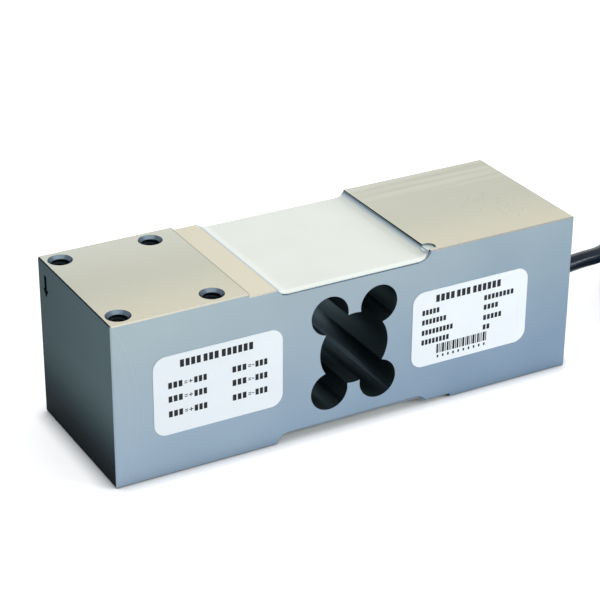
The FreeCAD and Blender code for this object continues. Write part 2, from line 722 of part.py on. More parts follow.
def end_wire(across, height, spread, length, diameter):
    """A thin straight wire from the sheath's end down to the floor. across and height: where it starts."""
    start = end_point(0, across, BOTTOM_TURN_Z + height)
    end = end_point(length, spread, diameter / 2 + FIT_CLEARANCE)
    section = Part.Circle(start, heading_vector(TAIL_HEADING), diameter / 2).toShape()
    return Part.Face(Part.Wire(section)).extrude(end - start)


def end_lead(row, column):
    """One stripped core, fanned out: the upper row's three ends lie between the lower row's."""
    across, up = core_place(row, column)
    spread = (column - 1 + LEAD_ROW_SHIFT * (1 - 2 * row)) * LEAD_SPREAD
    return end_wire(across, up, spread, LEAD_LENGTH, CORE_D)


def end_drain():
    """The shield's drain wire, twisted together, short and between the cores."""
    return end_wire(CORE_PITCH / 2, 0, 0, DRAIN_LENGTH, DRAIN_D)


# ================================================================ labels
def label(x):
    """A thin rounded plate on the front face."""
    half_length = LABEL_LENGTH / 2
    half_height = LABEL_HEIGHT / 2
    plate = box(
        x - half_length, x + half_length,
        FRONT - LABEL_THICKNESS, FRONT,
        MID_HEIGHT - half_height, MID_HEIGHT + half_height,
    )
    across = [edge for edge in plate.Edges if edge.BoundBox.YLength > LABEL_THICKNESS / 2]
    return plate.makeFillet(LABEL_CORNER_R, across)


# ================================================================ build
def save(name, shapes):
    """Write one node. shapes is one shape or a list of separate solids."""
    solids = shapes if isinstance(shapes, list) else shapes.Solids
    shape = solids[0] if len(solids) == 1 else Part.makeCompound(solids)
    shape.exportStep(os.path.join("parts", name + ".step"))
    print("%-24s solids %2d  volume %10.2f  valid %s" % (name, len(solids), shape.Volume, shape.isValid()))


def build():
    os.makedirs("parts", exist_ok=True)
    beam = sensing_beam()
    nodes = {"sensing_beam": beam}

    gauge = strain_gauge()
    nodes["strain_gauge_top_left"] = mirrored(gauge)
    nodes["strain_gauge_top_right"] = gauge
    nodes["strain_gauge_bottom_left"] = half_turn(gauge)
    nodes["strain_gauge_bottom_right"] = half_turn(mirrored(gauge))
    nodes["span_resistor_left"] = mirrored(span_resistor())
    nodes["span_resistor_right"] = span_resistor()
    nodes["terminal_strip_top"] = terminal_strip()
    nodes["terminal_strip_bottom"] = half_turn(terminal_strip())
    nodes["gauge_leads_top"] = gauge_leads()
    nodes["gauge_leads_bottom"] = [half_turn(lead) for lead in gauge_leads()]
    nodes["span_resistor_leads"] = resistor_leads()
    nodes["bridge_ribbon_top"] = bridge_ribbon(1)
    nodes["bridge_ribbon_bottom"] = bridge_ribbon(-1)

    nodes["junction_board"] = junction_board()
    nodes["trim_resistors"] = trim_resistors()
    for row, colours in enumerate(CORE_ROWS):
        for column, colour in enumerate(colours):
            nodes["core_" + colour] = core(row, column)
    nodes["shield_braid"] = shield_braid()
    nodes["cable_sheath_end"] = cable_sheath_end()
    inserts = [shape for name, shape in nodes.items() if name != "sensing_beam"]
    inserts = [solid for shape in inserts for solid in (shape if isinstance(shape, list) else [shape])]
    nodes["passage_resin"] = passage_resin().cut(inserts)
    column_at_block = meniscus_end(WALL_AT_BLOCK, CLIMB_AT_BLOCK)[1]
    column_at_relief = meniscus_end(WALL_AT_RELIEF, CLIMB_AT_RELIEF)[1]
    nodes["top_potting"] = potting(column_at_block, True).cut([beam] + inserts)
    nodes["bottom_potting"] = half_turn(potting(column_at_relief, False)).cut([beam] + inserts)

    nodes["gland_bush"] = gland_bush()
    nodes["gland_washer"] = gland_washer()
    nodes["gland_screw"] = gland_screw()
    nodes["cable"] = cable()
    nodes["cable_coil"] = cable_coil()
    for name, angle in TIE_ANGLES.items():
        nodes[name] = coil_tie(angle)
    for row, colours in enumerate(CORE_ROWS):
        for column, colour in enumerate(colours):
            nodes["end_lead_" + colour] = end_lead(row, column)
    nodes["end_drain"] = end_drain()
    nodes["wiring_label"] = label(WIRING_LABEL_X)
    nodes["rating_label"] = label(RATING_LABEL_X)
    for name, shapes in nodes.items():
        save(name, shapes)


build()
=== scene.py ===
# %% [markdown]
# # A single point load cell
# A single point load cell is a block of aluminium with a clover-shaped
# opening through it. When a weight pan is screwed to one end and the other
# end is screwed down, the thin webs round the opening bend a little, and
# foil gauges glued over them turn that bend into a voltage.
#
# The solids of the block, its gland and its wiring come ready made from a
# CAD model. Blender adds what CAD leaves out: finishes, the print on the
# labels, the thread in the holes and the real lie of the cable.
#
# We load the CAD model first. It arrives in metres, with the block standing
# on z = 0, its length along X and its two labels facing -Y.

# %% Load the CAD model
import json
import math

import bmesh
import bpy
from mathutils import Matrix, Vector


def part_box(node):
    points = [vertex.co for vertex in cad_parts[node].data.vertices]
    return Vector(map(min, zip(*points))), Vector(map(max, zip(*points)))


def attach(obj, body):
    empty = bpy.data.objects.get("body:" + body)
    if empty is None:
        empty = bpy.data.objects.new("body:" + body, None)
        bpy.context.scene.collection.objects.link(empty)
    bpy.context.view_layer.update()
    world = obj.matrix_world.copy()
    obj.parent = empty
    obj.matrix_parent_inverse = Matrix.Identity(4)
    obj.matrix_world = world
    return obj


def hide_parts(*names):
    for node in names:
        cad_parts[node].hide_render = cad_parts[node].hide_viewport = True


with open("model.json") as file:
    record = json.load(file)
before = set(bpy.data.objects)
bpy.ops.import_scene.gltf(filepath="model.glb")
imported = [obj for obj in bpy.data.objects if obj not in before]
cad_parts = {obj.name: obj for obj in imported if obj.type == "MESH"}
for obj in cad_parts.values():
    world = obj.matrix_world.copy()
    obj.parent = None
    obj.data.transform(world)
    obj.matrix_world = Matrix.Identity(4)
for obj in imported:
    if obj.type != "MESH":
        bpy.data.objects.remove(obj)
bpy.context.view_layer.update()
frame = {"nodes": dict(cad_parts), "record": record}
nodes = frame["nodes"]

# %% [markdown]
# ## A few helpers
# Colours are written as the hex codes that a paint program shows. Blender
# mixes light in linear values, so one function converts them.
#
# Most Blender operators work on whatever is selected, so `clear_selection`
# runs before each new piece. `settle` moves a piece's place into its mesh,
# which leaves the object itself at the origin like the CAD nodes.

# %% Colour and selection helpers
MM = 0.001


def linear(hex_code):
    """An sRGB hex colour as linear red, green, blue and alpha."""
    channels = [int(hex_code[i:i + 2], 16) / 255 for i in (1, 3, 5)]
    mixed = [c / 12.92 if c <= 0.04045 else ((c + 0.055) / 1.055) ** 2.4 for c in channels]
    return mixed + [1.0]


def clear_selection():
    """Leaves edit mode and selects nothing."""
    if bpy.context.object and bpy.context.object.mode != "OBJECT":
        bpy.ops.object.mode_set(mode="OBJECT")
    bpy.ops.object.select_all(action="DESELECT")


def settle(piece, name):
    """Names a piece and moves its place, turn and size into its mesh."""
    clear_selection()
    piece.select_set(True)
    bpy.context.view_layer.objects.active = piece
    bpy.ops.object.transform_apply(location=True, rotation=True, scale=True)
    piece.name = name
    return piece


def dress(piece, material, stands_for=()):
    """Gives a new piece its finish, its body and the CAD nodes that it stands for."""
    piece.data.materials.clear()
    piece.data.materials.append(material)
    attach(piece, "root")
    if stands_for:
        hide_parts(*stands_for)


clear_selection()
print("white is", linear("#ffffff"))

# %% [markdown]
# ## The camera
# A product shot is taken from a little to the left and above, with a long
# lens, so that parallel edges stay nearly parallel. The camera is turned to
# its azimuth, tipped to its elevation, rolled by a hair, and then backed
# away from the point that it looks at.

# %% Place the camera
AZIMUTH, ELEVATION, ROLL = -29.196, 26.595, 0.338
TARGET = Vector((-2.78, 3.77, 36.1)) * MM
DISTANCE = 756 * MM

bpy.ops.object.camera_add()
camera = bpy.context.object
camera.name = "product_camera"
camera.data.lens = 120.95
camera.data.sensor_width = 36
camera.data.clip_start = 0.02
turn = (
    Matrix.Rotation(math.radians(AZIMUTH), 4, "Z")
    @ Matrix.Rotation(math.radians(90 - ELEVATION), 4, "X")
    @ Matrix.Rotation(math.radians(ROLL), 4, "Z")
)
camera.matrix_world = Matrix.Translation(TARGET + turn.to_3x3() @ Vector((0, 0, DISTANCE))) @ turn
bpy.context.scene.camera = camera
print("camera at", [round(v, 4) for v in camera.location])

# %% [markdown]
# ## The cable's line
# The six-core lead leaves the gland in the block's right end, straight and
# level for a few diameters, and then sinks towards the bench. About 2.6 m
# of it is wound into a neat flat-topped coil of three columns and four
# layers.
#
# The line is one smooth NURBS curve. The curve cuts inside its control
# points, so on a turn they lie a little further out than the turn's own
# radius.

# %% Route of the cable
CABLE_DIAMETER = 6.7 * MM
COIL_CENTRE = Vector((189.942, -15.492, 0)) * MM
TURN_RADII = [30 * MM, 36.9 * MM, 43.8 * MM]
LAYER_HEIGHTS = [24.85 * MM, 17.95 * MM, 11.05 * MM, 4.15 * MM]
START_ANGLE = 128

lead_out = [
    (94.523, -14.514, 31.75),
    (113.084, -10.452, 31.75),
    (129.955, -6.777, 29.584),
    (141.7, 2.4, 27.9),
]
tail = [(203.35, 27.39, 4.15), (220.296, 26.055, 4.15)]
print("coil", round(2000 * (TURN_RADII[-1] + CABLE_DIAMETER / 2), 1), "mm across")

# %% [markdown]
# The winding plan says how the cable fills the coil. It stays in a column
# for most of a turn and then crosses to the next one. At a layer's last
# column it sinks to the layer below and works its way back. Each layer's
# crossings come a little before the last layer's, so that the cable never
# meets itself.

# %% Winding plan
CROSSING = 42.5      # degrees in which the cable moves to the next column or layer
LEAD_CLEAR = 14      # the first turn has moved in this many degrees before it passes the lead
TAIL_CLEAR = 6       # the tail leaves this many degrees before the last crossing

moves = []           # degrees, then radius and height at the start and at the end
for layer, height in enumerate(LAYER_HEIGHTS):
    columns = TURN_RADII if layer % 2 else TURN_RADII[::-1]
    stays = [360 - 2 * CROSSING, 360 - CROSSING, 360 - 2 * CROSSING]
    if layer == 0:
        stays[0] = 360 - CROSSING - LEAD_CLEAR
    if layer == len(LAYER_HEIGHTS) - 1:
        stays[2] = 360 - CROSSING - TAIL_CLEAR
    for column, radius in enumerate(columns):
        moves.append((stays[column], (radius, height), (radius, height)))
        if column < len(columns) - 1:
            moves.append((CROSSING, (radius, height), (columns[column + 1], height)))
        elif layer < len(LAYER_HEIGHTS) - 1:
            moves.append((CROSSING, (radius, height), (radius, LAYER_HEIGHTS[layer + 1])))
total_sweep = sum(move[0] for move in moves)
print(len(moves), "moves,", round(total_sweep / 360, 2), "turns")


# %% Points along the coil
POINTS_PER_TURN = 20


def coil_point(swept, step):
    """The control point that lies so many degrees along the coil."""
    for degrees, begin, end in moves:
        if swept <= degrees:
            break
        swept -= degrees
    share = min(1, swept / degrees)
    share = share * share * (3 - 2 * share)
    radius = begin[0] + (end[0] - begin[0]) * share
    height = begin[1] + (end[1] - begin[1]) * share
    return radius / math.cos(math.radians(step / 2)), height


steps = round(total_sweep / 360 * POINTS_PER_TURN)
step = total_sweep / steps
line = [Vector(point) * MM for point in lead_out]
for k in range(steps):
    swept = (k + 0.5) * step
    radius, height = coil_point(swept, step)
    angle = math.radians(START_ANGLE - swept)
    line.append(COIL_CENTRE + Vector((radius * math.cos(angle), radius * math.sin(angle), height)))
line += [Vector(point) * MM for point in tail]
print(len(line), "control points")


# %% [markdown]
# A curve with a round bevel is all that a cable needs. `use_endpoint_u`
# makes the curve start and end on its first and last control points, and an
# order of 3 keeps the curve close to them.

# %% A function for smooth cords
def smooth_cord(name, points, diameter, sides=5, order=3):
    """A curve object whose NURBS line follows the points, as thick as the diameter."""
    curve = bpy.data.curves.new(name, "CURVE")
    curve.dimensions = "3D"
    spline = curve.splines.new("NURBS")
    spline.points.add(len(points) - 1)
    for point, place in zip(spline.points, points):
        point.co = (*place, 1)
    spline.order_u = order
    spline.use_endpoint_u = True
    curve.resolution_u = 6
    curve.bevel_depth = diameter / 2
    curve.bevel_resolution = sides
    curve.use_fill_caps = True
    piece = bpy.data.objects.new(name, curve)
    bpy.context.scene.collection.objects.link(piece)
    return piece


cable = smooth_cord("cable_line", line, CABLE_DIAMETER, sides=6)
print("cable made")

# %% [markdown]
# ## Building materials
# Every finish below starts from a Principled BSDF. One small function adds
# a node with its settings and its links, and a few more name the nodes that
# come up most, so that a material reads as a list. All patterns use Object
# coordinates scaled to millimetres, and so a grain of 0.2 is a fifth of a
# millimetre on the real part.

# %% Starting a material and adding nodes
def begin_finish(name, **surface):
    """A new material with its Principled shader's own sockets set. Underscores are spaces."""
    material = bpy.data.materials.new(name)
    material.use_nodes = True
    shader = material.node_tree.nodes["Principled BSDF"]
    for socket, value in surface.items():
        shader.inputs[socket.replace("_", " ")].default_value = value
    return material, shader


def add(material, kind, inputs, **settings):
    """Adds one node. inputs: a value or an output socket for each input, by name or number."""
    tree = material.node_tree
    node = tree.nodes.new(kind)
    for setting, value in settings.items():
        setattr(node, setting, value)
    for socket, value in inputs.items():
        if isinstance(value, bpy.types.NodeSocket):
            tree.links.new(value, node.inputs[socket])
        else:
            node.inputs[socket].default_value = value
    return node


def join(material, output, shader, socket):
    """Links an output to one of the shader's sockets."""
    material.node_tree.links.new(output, shader.inputs[socket])


# %% The nodes that come up most
def calculate(material, operation, *values):
    """The result of one sum."""
    return add(material, "ShaderNodeMath", dict(enumerate(values)), operation=operation).outputs[0]


def calculate_vector(material, operation, *values):
    """The result of one sum on vectors, which is a number for a length or a product."""
    node = add(material, "ShaderNodeVectorMath", dict(enumerate(values)), operation=operation)
    gives_number = operation in ("DOT_PRODUCT", "LENGTH", "DISTANCE")
    return node.outputs["Value" if gives_number else "Vector"]


def parts_of(material, vector):
    """A vector's X, Y and Z, by name."""
    return add(material, "ShaderNodeSeparateXYZ", {0: vector}).outputs


def scaled(material, vector, factor):
    """A vector or colour times a number."""
    inputs = {0: vector, "Scale": factor}
    return add(material, "ShaderNodeVectorMath", inputs, operation="SCALE").outputs[0]


def ramp(material, value, begin, end, low=0, high=1, ease="LINEAR"):
    """Goes from low to high while the value goes from begin to end, and stays level beyond."""
    inputs = {0: value, 1: begin, 2: end, 3: low, 4: high}
    return add(material, "ShaderNodeMapRange", inputs, interpolation_type=ease).outputs[0]


def blend(material, share, first, second, blend_type="MIX"):
    """The first colour where the share is 0 and the second where it is 1."""
    ends = [linear(end) if isinstance(end, str) else end for end in (first, second)]
    inputs = {0: share, 6: ends[0], 7: ends[1]}
    mix = add(material, "ShaderNodeMix", inputs, data_type="RGBA", blend_type=blend_type)
    return mix.outputs[2]


def noise(material, place, scale, detail):
    """Soft noise from 0 to 1."""
    inputs = {"Vector": place, "Scale": scale, "Detail": detail}
    return add(material, "ShaderNodeTexNoise", inputs).outputs[0]


def bump(material, height, strength, distance):
    """A normal that makes the height look raised. distance: in metres."""
    inputs = {"Height": height, "Strength": strength, "Distance": distance}
    return add(material, "ShaderNodeBump", inputs).outputs[0]


def millimetres(material):
    """Object coordinates as a vector in millimetres."""
    return scaled(material, add(material, "ShaderNodeTexCoord", {}).outputs["Object"], 1000)


print("material helpers ready")

# %% [markdown]
# ## Milled aluminium
# The block is sawn from bar, milled on every side and clear anodised. The
# sides come out a cool satin grey with the faint arcs of the face mill. The
# four pads that are bolted to other parts are skimmed last, so they are
# bare, with tool lines along the bar; their warmer, brighter tone is partly
# that bare skin and partly painted warm light. The ends are painted darker,
# as shade, and the bored opening is painted darker still, as the shade that
# fills it.
#
# One material can hold all four. The object's own normal tells which way a
# face looks, and its place tells whether it is inside the opening. A dark
# edge tint keeps a face from brightening where it is seen at a slant.

# %% Milled aluminium: where each finish goes
HALF_WIDTH = 31.75       # half of the block's width and of its height, in millimetres

aluminium, metal = begin_finish(
    "milled_anodised_aluminium",
    Metallic=0.85, Roughness=0.42, Specular_Tint=(0.3, 0.3, 0.3, 1),
)
place = millimetres(aluminium)
where = parts_of(aluminium, place)
off_middle = calculate(aluminium, "ABSOLUTE", where["X"])
off_line = calculate(aluminium, "ABSOLUTE", where["Y"])
from_middle = calculate_vector(aluminium, "SUBTRACT", place, (0, 0, HALF_WIDTH))
above = parts_of(aluminium, from_middle)

normal = add(aluminium, "ShaderNodeTexCoord", {}).outputs["Normal"]
looks = parts_of(aluminium, calculate_vector(aluminium, "ABSOLUTE", normal))
is_end = calculate(aluminium, "GREATER_THAN", looks["X"], 0.9)
is_pad = calculate(aluminium, "GREATER_THAN", looks["Z"], 0.9)


def within(half_x, half_y, half_z):
    """A mask that is 1 inside a box about the block's middle, from its half sizes."""
    inverse = (1 / half_x, 1 / half_y, 1 / half_z)
    shares = calculate_vector(aluminium, "MULTIPLY", from_middle, inverse)
    parts = parts_of(aluminium, calculate_vector(aluminium, "ABSOLUTE", shares))
    wider = calculate(aluminium, "MAXIMUM", parts["X"], parts["Y"])
    widest = calculate(aluminium, "MAXIMUM", wider, parts["Z"])
    return calculate(aluminium, "LESS_THAN", widest, 1)


# The opening is painted dark as the shade inside it.
is_shaded_opening = within(27, 31.7, 25.5)
# All that lies under the skin beyond the pockets, the tapped holes and the cable's bore, is
# painted dark as the shade inside them.
past_pockets = calculate(aluminium, "GREATER_THAN", off_middle, 44)
is_shaded_bore = calculate(aluminium, "MULTIPLY", within(94.5, 31, 30.4), past_pockets)
print("masks made")

# %% Milled aluminium: sides
# Painted light: the tone is lighter at the upper left of a side and darker to its lower right, as
# the lamps fall, and noise adds random blotches.
light_drift = calculate_vector(aluminium, "DOT_PRODUCT", from_middle, (1 / 210, 0, -1 / 150))
blotch = noise(aluminium, place, 0.03, 1)
blotch_and_light_drift = calculate(aluminium, "MULTIPLY_ADD", blotch, 0.5, light_drift)
side_colour = blend(aluminium, ramp(aluminium, blotch_and_light_drift, -0.35, 0.85), "#9dabb0", "#7c8e9a")
# Towards the bench the sides are tinted a little bluer, a painted cool reflection.
cool_reflection_share = ramp(aluminium, where["Z"], 55, 10)
side_tone = blend(aluminium, cool_reflection_share, side_colour, (0.96, 1.0, 1.11, 1), "MULTIPLY")
print("sides")

# %% [markdown]
# The skimmed pads carry tool lines along the bar, which is noise stretched
# nearly 30 times along X. They show most towards the back of the right pad.
# Small pits are the centres of Voronoi cells, kept only in one handled
# patch.
#
# The pads stand 1.1 mm above the relief between them and the pockets, which
# keeps a paler skin. A thin dark line of painted shade runs along the edge
# of that step, where its small face lies in shade. The step is at the left on
# top and at the right underneath.

# %% Milled aluminium: pads
STEP_FROM_MIDDLE = 42.7         # the worn line at a pad's inner edge
HANDLED_SPOT, HANDLED_RADIUS = (75, -8, 63.5), 13

# The pads' warm, bright tones below are partly painted warm light from above.
across = ramp(aluminium, where["Y"], -HALF_WIDTH, HALF_WIDTH, ease="SMOOTHSTEP")
warm_to_cool = blend(aluminium, across, "#d9d5c4", "#d7d9cf")
mid_share = ramp(aluminium, off_line, 4, 28, 0.6, 0)
mid_tone = blend(aluminium, mid_share, warm_to_cool, "#c6c8bb")

along = calculate_vector(aluminium, "MULTIPLY", place, (0.025, 0.7, 0.7))
contrast = ramp(aluminium, noise(aluminium, along, 0.5, 4), 0.35, 0.65)
to_back = calculate_vector(aluminium, "DOT_PRODUCT", place, (1 / 160, 1 / 48, 0))
line_share = ramp(aluminium, to_back, 0.35, 0.8, 0.08, 0.9)
tool_lines = calculate(aluminium, "MULTIPLY", contrast, line_share)
pad_colour = blend(aluminium, tool_lines, mid_tone, "#c8c7b9")

cells = add(aluminium, "ShaderNodeTexVoronoi", {"Vector": place, "Scale": 0.55})
pit = calculate(aluminium, "LESS_THAN", cells.outputs["Distance"], 0.13)
from_spot = calculate_vector(aluminium, "DISTANCE", place, HANDLED_SPOT)
in_patch = calculate(aluminium, "LESS_THAN", from_spot, HANDLED_RADIUS)
pits = calculate(aluminium, "MULTIPLY", pit, in_patch)
pitted = blend(aluminium, pits, pad_colour, "#94938a")

is_relief = calculate(aluminium, "LESS_THAN", calculate(aluminium, "ABSOLUTE", above["Z"]), 31.2)
level_colour = blend(aluminium, is_relief, pitted, "#e2ddcb")
top_or_bottom = calculate(aluminium, "SIGN", above["Z"])
# Painted shade: a thin dark line along the step's edge.
from_step = calculate(aluminium, "MULTIPLY_ADD", where["X"], top_or_bottom, STEP_FROM_MIDDLE)
step_shade_line = calculate(aluminium, "COMPARE", from_step, 0, 0.14)
pad_tone = blend(aluminium, step_shade_line, level_colour, "#999a93")
print("pads")

# %% [markdown]
# Chamfers are turned or broken with a sharp tool. Their normals stand near
# 45 degrees, which is how the material finds them. A painted highlight makes
# the long upper edges thin bright lines. The countersinks of the holes and
# the lower chamfers are a bluer grey, a painted cool reflection. Painted
# shade makes the short edges over the ends dark, and the pockets' end walls
# too.

# %% Milled aluminium: ends, chamfers and opening
# Painted shade: the ends are dark, and darker still towards the bottom and the back.
end_shade_low = ramp(aluminium, where["Z"], 2, 36, ease="SMOOTHSTEP")
end_shade_back = ramp(aluminium, where["Y"], -HALF_WIDTH, HALF_WIDTH, 1.05, 0.7)
end_light_share = calculate(aluminium, "MULTIPLY", end_shade_low, end_shade_back)
end_colour = blend(aluminium, end_light_share, "#2b3438", "#5f7074")
# Painted shade: the pockets' end walls are nearly black.
is_shaded_wall = calculate(aluminium, "LESS_THAN", off_middle, 33)
end_tone = blend(aluminium, is_shaded_wall, end_colour, "#161b20")

# Painted highlight on the long upper edges, painted shade on the short edges over the ends,
# painted cool reflection on the other chamfers.
is_long_edge = calculate(aluminium, "GREATER_THAN", off_line, 31)
is_upper = calculate(aluminium, "GREATER_THAN", above["Z"], 29.75)
is_highlit_edge = calculate(aluminium, "MULTIPLY", is_long_edge, is_upper)
is_short_edge = calculate(aluminium, "GREATER_THAN", off_middle, 94.8)
other_edges = blend(aluminium, is_short_edge, "#7b8a96", "#3a4347")
edge_tone = blend(aluminium, is_highlit_edge, other_edges, "#d6d0c0")
is_chamfer = calculate(aluminium, "COMPARE", looks["Z"], 0.707, 0.08)

tone = side_tone
for mask, colour in (
    (is_pad, pad_tone),
    (is_end, end_tone),
    (is_chamfer, edge_tone),
    (is_shaded_bore, "#29323a"),
    (is_shaded_opening, "#4a585c"),
):
    tone = blend(aluminium, mask, tone, colour)
print("all tones")

# %% [markdown]
# The face mill leaves arcs about as wide as its cutter. They show best near
# the left end, where the cutter ran out. Distance from the cutter's centre
# gives the arcs, and noise makes them uneven.

# %% Milled aluminium: arcs, grain and gloss
CUTTER_CENTRE = (-152, 0, 30)
from_cutter = calculate_vector(aluminium, "SUBTRACT", place, CUTTER_CENTRE)
flat = calculate_vector(aluminium, "MULTIPLY", from_cutter, (1, 0, 1))
arc_radius = calculate_vector(aluminium, "LENGTH", flat)
arcs = add(
    aluminium, "ShaderNodeTexNoise",
    {"W": arc_radius, "Scale": 1.1, "Detail": 3}, noise_dimensions="1D",
)
run_out = ramp(aluminium, where["X"], -95.5, -72, 0.1, 0.02)
centred = calculate(aluminium, "SUBTRACT", arcs.outputs[0], 0.5)
brightness = calculate(aluminium, "MULTIPLY_ADD", centred, run_out, 1)
join(aluminium, scaled(aluminium, tone, brightness), metal, "Base Color")

grain = noise(aluminium, place, 4, 3)
gloss = ramp(aluminium, grain, 0, 1, 0.36, 0.48)
shinier = calculate(aluminium, "MULTIPLY_ADD", is_chamfer, -0.2, gloss)
join(aluminium, shinier, metal, "Roughness")
join(aluminium, bump(aluminium, grain, 0.05, 0.0001), metal, "Normal")
print("milled aluminium ready")

# %% [markdown]
# ## Potting, label film and cable sheath
# White silicone is poured into the two pockets to keep water off the
# gauges. It sets with a level satin face that lets light in a little way.
# The labels are glossy white polyester, and the cable's sheath is soft
# black PVC. All three are dielectrics with an IOR near 1.5.

# %% Potting
potting, rubber = begin_finish(
    "poured_white_silicone",
    Roughness=0.38, IOR=1.41,
    Subsurface_Weight=0.08, Subsurface_Radius=(0.002, 0.002, 0.0018), Subsurface_Scale=0.5,
)
place = millimetres(potting)
where = parts_of(potting, place)
off_middle = calculate(potting, "ABSOLUTE", where["X"])
off_line = calculate(potting, "ABSOLUTE", where["Y"])
tint = blend(potting, noise(potting, place, 0.05, 2), "#e4e7dd", "#eef0e7")
# Painted shade: a grey-blue band where the skin meets the pocket's end walls.
wall_band_shade = ramp(potting, off_middle, 29.6, 31.4, 0, 0.8, "SMOOTHSTEP")
# In the mouth of the wire hole, past the wall, the silicone is deep and white again, so most of
# that painted shade is taken away.
in_hole = calculate(potting, "GREATER_THAN", off_middle, 31.76)
wall_band_shade = calculate(potting, "MULTIPLY_ADD", in_hole, -0.6, wall_band_shade)
# Painted shade: a thin grey-blue line along the back edge.
back_edge_shade = calculate(potting, "GREATER_THAN", where["Y"], 30.7)
shaded_edges = blend(potting, calculate(potting, "MAXIMUM", wall_band_shade, back_edge_shade), tint, "#93a9bd")
# Painted shade: a dark line where the potting meets the pocket's end walls.
is_dark_wall_line = calculate(potting, "COMPARE", off_middle, 31.52, 0.22)
dark_line_added = blend(potting, is_dark_wall_line, shaded_edges, "#4f6272")
# Painted shade darkens the lower potting's front and back edges next to the bench.
near_bench = calculate(potting, "LESS_THAN", where["Z"], 5)
at_sides = calculate(potting, "GREATER_THAN", off_line, 30)
is_bench_shade = calculate(potting, "MULTIPLY", near_bench, at_sides)
join(potting, blend(potting, is_bench_shade, dark_line_added, "#7d878b"), rubber, "Base Color")
join(potting, bump(potting, noise(potting, place, 0.25, 1), 0.15, 0.0002), rubber, "Normal")

# %% Label film and its print
label_film, film = begin_finish("white_polyester_film", Roughness=0.3, IOR=1.57)
place = millimetres(label_film)
tint = blend(label_film, noise(label_film, place, 0.08, 2), "#e1e7e8", "#eaeff0")
join(label_film, tint, film, "Base Color")
ripple = noise(label_film, place, 0.4, 2)
join(label_film, bump(label_film, ripple, 0.06, 0.0002), film, "Normal")

ink, pigment = begin_finish("thermal_transfer_ink", Roughness=0.5, Specular_IOR_Level=0.2)
tint = blend(ink, noise(ink, millimetres(ink), 3, 2), "#121416", "#1f2225")
join(ink, tint, pigment, "Base Color")

# %% Cable sheath
sheath, pvc = begin_finish("black_pvc", Roughness=0.2, IOR=1.53, Specular_IOR_Level=0.3)
mottle = noise(sheath, millimetres(sheath), 1.5, 3)
join(sheath, blend(sheath, mottle, "#0a131c", "#121e2a"), pvc, "Base Color")
join(sheath, ramp(sheath, mottle, 0, 1, 0.16, 0.24), pvc, "Roughness")
join(sheath, bump(sheath, mottle, 0.1, 0.0001), pvc, "Normal")
print("potting, film, ink and sheath ready")

# %% [markdown]
# ## The gland and the hidden wiring
# The rest of the finishes need only two tones and a grain, so one function
# makes them from a table: its two colours, the size of the grain in
# millimetres, how metallic and how rough it is, and how deep the grain is.
# Gauges, ribbons and braid have stripes instead, from a second function.

# %% Two-tone and striped finishes
GLOSS_SWING = 0.06      # how far the roughness swings either way


def two_tone(name, dark, light, grain, metallic, roughness, depth=0.1):
    """A finish of two tones with a grain of this size in mm, and this strong a relief."""
    material, shader = begin_finish(name, Metallic=metallic, Roughness=roughness)
    pattern = noise(material, millimetres(material), 1 / grain, 3)
    shine = ramp(material, pattern, 0, 1, roughness - GLOSS_SWING, roughness + GLOSS_SWING)
    join(material, blend(material, pattern, dark, light), shader, "Base Color")
    join(material, shine, shader, "Roughness")
    join(material, bump(material, pattern, depth, 0.0001), shader, "Normal")
    return material


def striped(name, dark, light, pitch, metallic, roughness, axis="Y"):
    """A finish of straight stripes, this pitch in mm apart, across the axis."""
    material, shader = begin_finish(name, Metallic=metallic, Roughness=roughness)
    # A wave of scale s repeats every pi / (10 s) of its input.
    scale = math.pi / 10 / pitch
    inputs = {"Vector": millimetres(material), "Scale": scale, "Distortion": 0.2}
    waves = add(material, "ShaderNodeTexWave", inputs, bands_direction=axis).outputs[1]
    join(material, blend(material, waves, dark, light), shader, "Base Color")
    join(material, bump(material, waves, 0.3, 0.0001), shader, "Normal")
    return material


